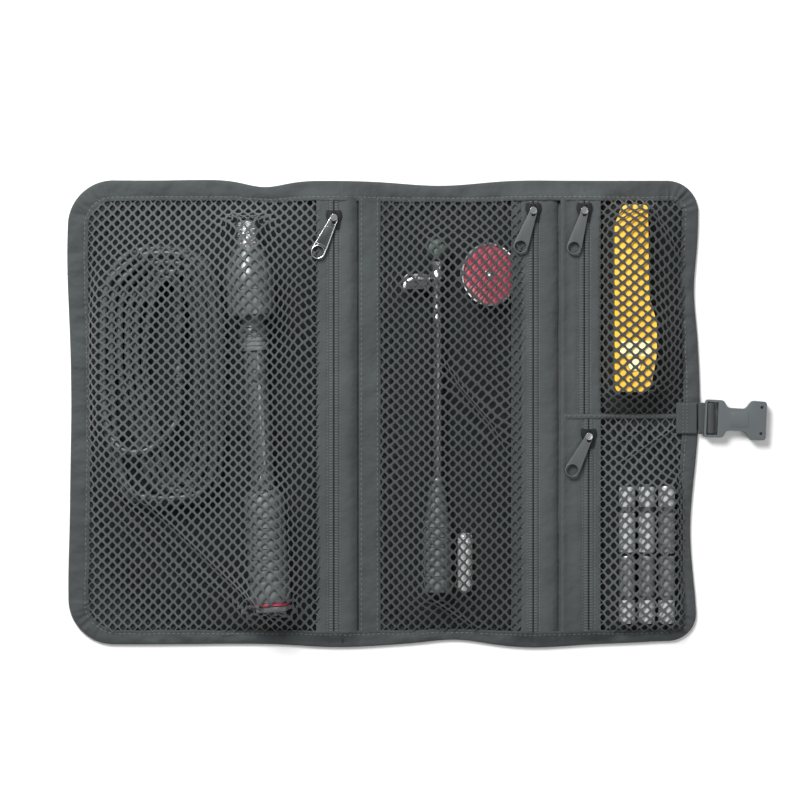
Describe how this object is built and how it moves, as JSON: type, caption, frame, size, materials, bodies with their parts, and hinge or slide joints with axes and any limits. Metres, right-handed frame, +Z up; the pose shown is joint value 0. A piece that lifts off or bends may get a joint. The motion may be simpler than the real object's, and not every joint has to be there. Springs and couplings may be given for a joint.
{
  "type": "tone probe kit",
  "caption": "Book-fold zipped mesh organiser holding a line-tracing probe, a toner wand, a coiled lead, an arm tool, a lens and spare cells, closed by a side-release buckle.",
  "frame": {"origin": "middle of the open organiser's footprint, on the surface it lies on", "axes": "+X towards the buckle, +Y towards the top edge of the pockets, +Z up out of the open pockets"},
  "size_m": [0.445, 0.296, 0.0346],
  "materials": {
    "nylon": "matt woven nylon",
    "nylon_binding": "ribbed nylon tape",
    "net": "knitted hexagonal net",
    "zip_tape": "woven zip tape",
    "zip_coil": "moulded coil",
    "zip_metal": "matt black enamel",
    "zip_metal_bright": "glossy black enamel",
    "webbing": "flat woven webbing",
    "buckle": "moulded acetal",
    "cable": "soft black lead",
    "tool_black": "satin moulded",
    "tool_grip": "ribbed grip",
    "tool_metal": "brushed",
    "chrome": "polished",
    "tool_red": "glossy",
    "board": "lacquered",
    "clear_dome": "tinted clear",
    "lens_red": "red lens",
    "capsule": "satin",
    "yellow": "satin yellow",
    "key_dark": "soft key",
    "cell_can": "brushed",
    "cell_sleeve": "printed sleeve"
  },
  "bodies": {
    "right_half": {"cover_right": "nylon", "binding_right": "nylon_binding", "seam_strip_right": "nylon", "pocket_divider": "nylon", "mesh_pocket_middle": "net", "mesh_pocket_upper": "net", "mesh_pocket_lower": "net", "zip_tape_middle": "zip_tape", "zip_coil_middle": "zip_coil", "zip_tape_upper": "zip_tape", "zip_coil_upper": "zip_coil", "zip_tape_lower": "zip_tape", "zip_coil_lower": "zip_coil", "buckle_anchor": "webbing", "rod_knob": "clear_dome", "rod_knuckle": "tool_metal", "rod_hook": "tool_metal", "rod_shaft": "tool_black", "rod_taper": "tool_black", "rod_grip": "tool_grip", "lens_glass": "lens_red", "lens_rim": "tool_metal", "capsule_body": "capsule", "capsule_cap": "capsule", "wand_case_back": "yellow", "wand_case_front": "yellow", "wand_board": "board", "spare_cells": "cell_can", "cell_sleeves": "cell_sleeve"},
    "spine": {"cover_spine": "nylon", "binding_spine": "nylon_binding", "seam_strip_left": "nylon", "zip_tape_left": "zip_tape", "zip_coil_left": "zip_coil"},
    "left_half": {"cover_left": "nylon", "binding_left": "nylon_binding", "mesh_pocket_left": "net", "tail_anchor": "webbing", "lead_coil": "cable", "lead_plug_a": "tool_black", "lead_plug_b": "tool_black", "probe_collar": "tool_black", "probe_barrel": "tool_black", "probe_board": "board", "probe_grip": "tool_grip", "probe_ring": "tool_red", "probe_end_cap": "tool_black"},
    "probe_nose": {"probe_tip": "chrome", "probe_head": "tool_black"},
    "probe_key": {"probe_button": "key_dark"},
    "wand_key": {"wand_button": "key_dark"},
    "closing_tail": {"tail_strap": "webbing", "male_buckle": "buckle"},
    "strap": {"buckle_strap": "webbing"},
    "socket": {"buckle_socket": "buckle"},
    "slider_left": {"zip_slider_left": "zip_metal"},
    "pull_left": {"zip_pull_left": "zip_metal_bright"},
    "slider_middle": {"zip_slider_middle": "zip_metal"},
    "pull_middle": {"zip_pull_middle": "zip_metal"},
    "slider_upper": {"zip_slider_upper": "zip_metal"},
    "pull_upper": {"zip_pull_upper": "zip_metal"},
    "slider_lower": {"zip_slider_lower": "zip_metal"},
    "pull_lower": {"zip_pull_lower": "zip_metal"}
  },
  "joints": [
    {"name": "spine_fold", "type": "hinge", "parent": "right_half", "child": "spine", "pos_m": [-0.0254, 0, 0.009], "axis": [0, 1, 0], "range_deg": [0, 90]},
    {"name": "left_fold", "type": "hinge", "parent": "spine", "child": "left_half", "pos_m": [-0.0704, 0, 0.009], "axis": [0, 1, 0], "range_deg": [0, 90]},
    {"name": "zip_left_slide", "type": "slide", "parent": "spine", "child": "slider_left", "axis": [0, -1, 0], "range_m": [0, 0.25]},
    {"name": "pull_left_flip", "type": "hinge", "parent": "slider_left", "child": "pull_left", "pos_m": [-0.0536, 0.1229, 0.0098], "axis": [-0.8996, 0.4368, 0], "range_deg": [0, 172]},
    {"name": "zip_middle_slide", "type": "slide", "parent": "right_half", "child": "slider_middle", "axis": [0, -1, 0], "range_m": [0, 0.254]},
    {"name": "pull_middle_flip", "type": "hinge", "parent": "slider_middle", "child": "pull_middle", "pos_m": [0.0736, 0.1274, 0.0098], "axis": [-0.9361, 0.3518, 0], "range_deg": [0, 172]},
    {"name": "zip_upper_slide", "type": "slide", "parent": "right_half", "child": "slider_upper", "axis": [0, -1, 0], "range_m": [0, 0.11]},
    {"name": "pull_upper_flip", "type": "hinge", "parent": "slider_upper", "child": "pull_upper", "pos_m": [0.1062, 0.1274, 0.0098], "axis": [-0.9578, 0.2874, 0], "range_deg": [0, 172]},
    {"name": "zip_lower_slide", "type": "slide", "parent": "right_half", "child": "slider_lower", "axis": [0, -1, 0], "range_m": [0, 0.112]},
    {"name": "pull_lower_flip", "type": "hinge", "parent": "slider_lower", "child": "pull_lower", "pos_m": [0.109, -0.0166, 0.0098], "axis": [-0.8886, 0.4587, 0], "range_deg": [0, 172]},
    {"name": "nose_twist", "type": "hinge", "parent": "left_half", "child": "probe_nose", "pos_m": [-0.10572, 0.06672, 0.0174], "axis": [0.0651, -0.9979, 0], "range_deg": [0, 90]},
    {"name": "probe_button_press", "type": "slide", "parent": "left_half", "child": "probe_key", "axis": [0, 0, -1], "range_m": [0, 0.001], "stiffness_N_per_m": 150, "springref_m": -0.0005},
    {"name": "wand_button_press", "type": "slide", "parent": "right_half", "child": "wand_key", "axis": [0, 0, -1], "range_m": [0, 0.0008], "stiffness_N_per_m": 150, "springref_m": -0.0005},
    {"name": "tail_flip", "type": "hinge", "parent": "left_half", "child": "closing_tail", "pos_m": [-0.0904, 0, 0.0017], "axis": [0, -1, 0], "range_deg": [0, 150]},
    {"name": "strap_flip", "type": "hinge", "parent": "right_half", "child": "strap", "pos_m": [0.1788, -0.004, 0.0046], "axis": [0, -1, 0], "range_deg": [0, 120]},
    {"name": "socket_tilt", "type": "hinge", "parent": "strap", "child": "socket", "pos_m": [0.187, -0.004, 0.0036], "axis": [0, -1, 0], "range_deg": [0, 45]}
  ],
  "couplings": [
    {"joint": "left_fold", "follows": "spine_fold", "ratio": 1}
  ]
}
